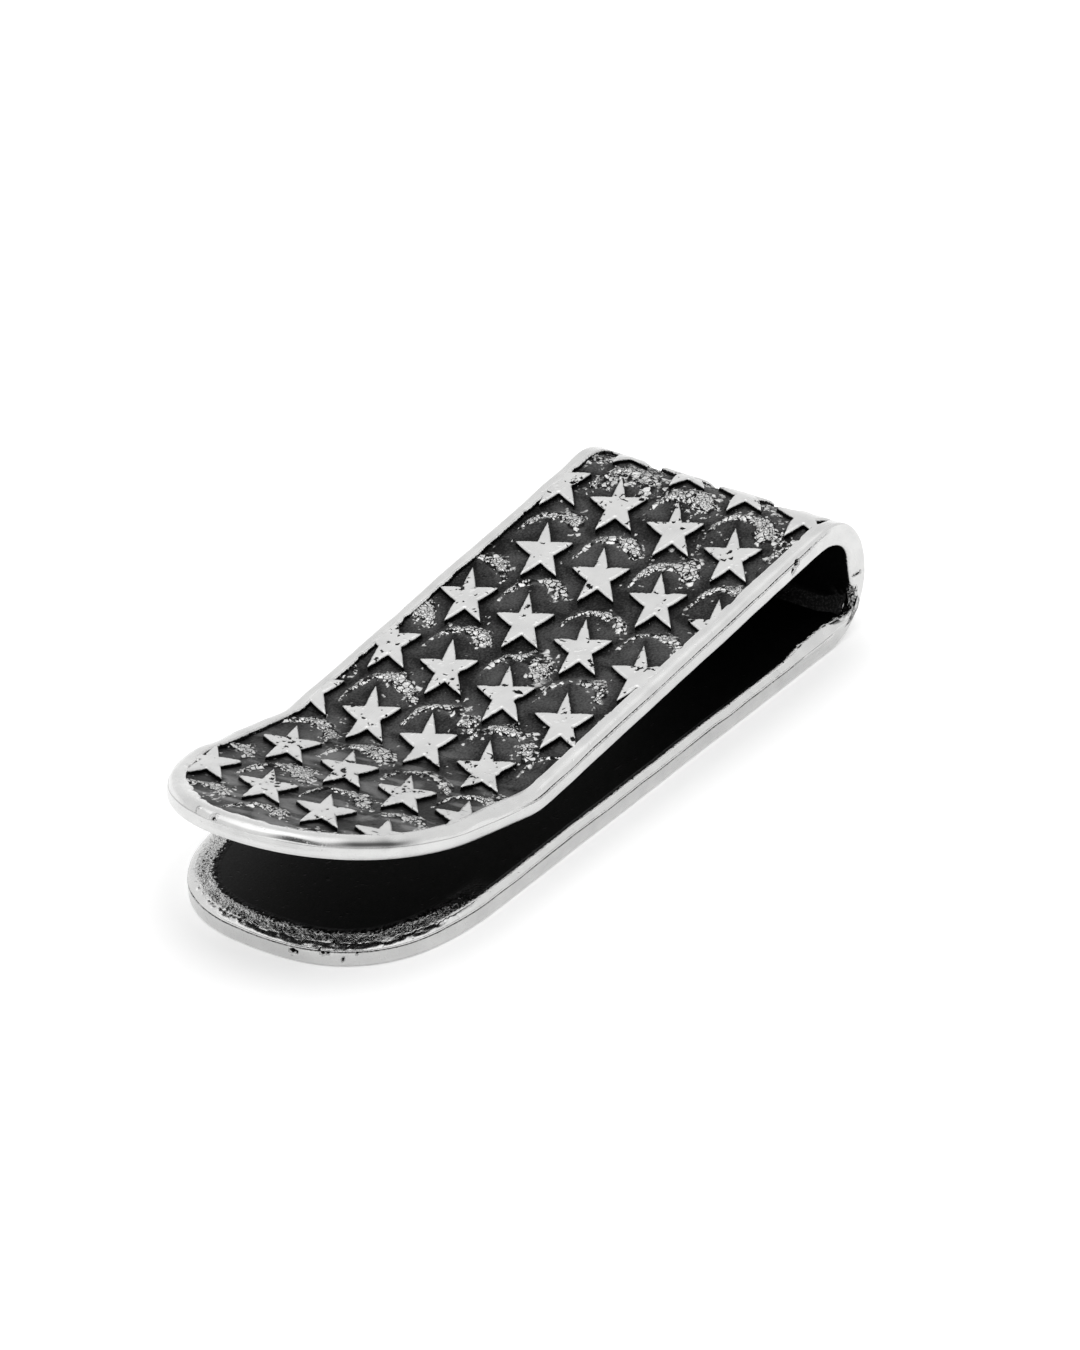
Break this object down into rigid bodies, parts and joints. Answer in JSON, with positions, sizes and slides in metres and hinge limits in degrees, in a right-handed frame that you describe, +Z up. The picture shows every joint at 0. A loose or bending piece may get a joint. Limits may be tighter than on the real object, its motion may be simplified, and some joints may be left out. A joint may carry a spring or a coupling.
{
  "type": "money clip",
  "caption": "Silver money clip: one springy strip bent into a U, with a flared lip, a raised rim and a relief of stars, that grips folded notes.",
  "frame": {"origin": "on the resting plane under the middle of the clip's bounding box", "axes": "+Z up from the resting back leaf, +X along the clip towards the bow, -X towards the open mouth and the lip, Y across the strip"},
  "size_m": [0.0562, 0.02, 0.011],
  "materials": {
    "polished_silver": "hand-polished cast sterling silver, worn satin with small pits and scratches",
    "oxidised_silver": "cast sterling silver blackened in the recesses, matt, with bright high spots"
  },
  "bodies": {
    "back": {"back_leaf": "polished_silver", "bow_lower": "oxidised_silver", "bow_rim_far_lower": "polished_silver", "bow_rim_foot": "polished_silver", "bow_rim_near_lower": "polished_silver", "star_1_2": "polished_silver", "star_1_3": "polished_silver", "star_1_4": "polished_silver", "star_1_5": "polished_silver"},
    "front": {"bow_upper": "oxidised_silver", "front_leaf": "oxidised_silver", "lip": "oxidised_silver", "bow_rim_far_upper": "polished_silver", "bow_rim_near_upper": "polished_silver", "front_rim_far": "polished_silver", "front_rim_near": "polished_silver", "lip_rim": "polished_silver", "star_2_2": "polished_silver", "star_2_3": "polished_silver", "star_2_4": "polished_silver", "star_2_5": "polished_silver", "star_3_2": "polished_silver", "star_3_3": "polished_silver", "star_3_4": "polished_silver", "star_3_5": "polished_silver", "star_4_3": "polished_silver", "star_4_4": "polished_silver", "star_4_5": "polished_silver", "star_4_6": "polished_silver", "star_5_3": "polished_silver", "star_5_4": "polished_silver", "star_5_5": "polished_silver", "star_5_6": "polished_silver", "star_6_3": "polished_silver", "star_6_4": "polished_silver", "star_6_5": "polished_silver", "star_6_6": "polished_silver", "star_7_3": "polished_silver", "star_7_4": "polished_silver", "star_7_5": "polished_silver", "star_7_6": "polished_silver", "star_8_4": "polished_silver", "star_8_5": "polished_silver", "star_8_6": "polished_silver", "star_8_7": "polished_silver", "star_9_4": "polished_silver", "star_9_5": "polished_silver", "star_9_6": "polished_silver", "star_9_7": "polished_silver"}
  },
  "joints": [
    {"name": "spring_flex", "type": "hinge", "parent": "back", "child": "front", "pos_m": [0.02699, 0, 0.00581], "axis": [0, 1, 0], "range_deg": [0, 5], "stiffness_Nm_per_rad": 9}
  ]
}
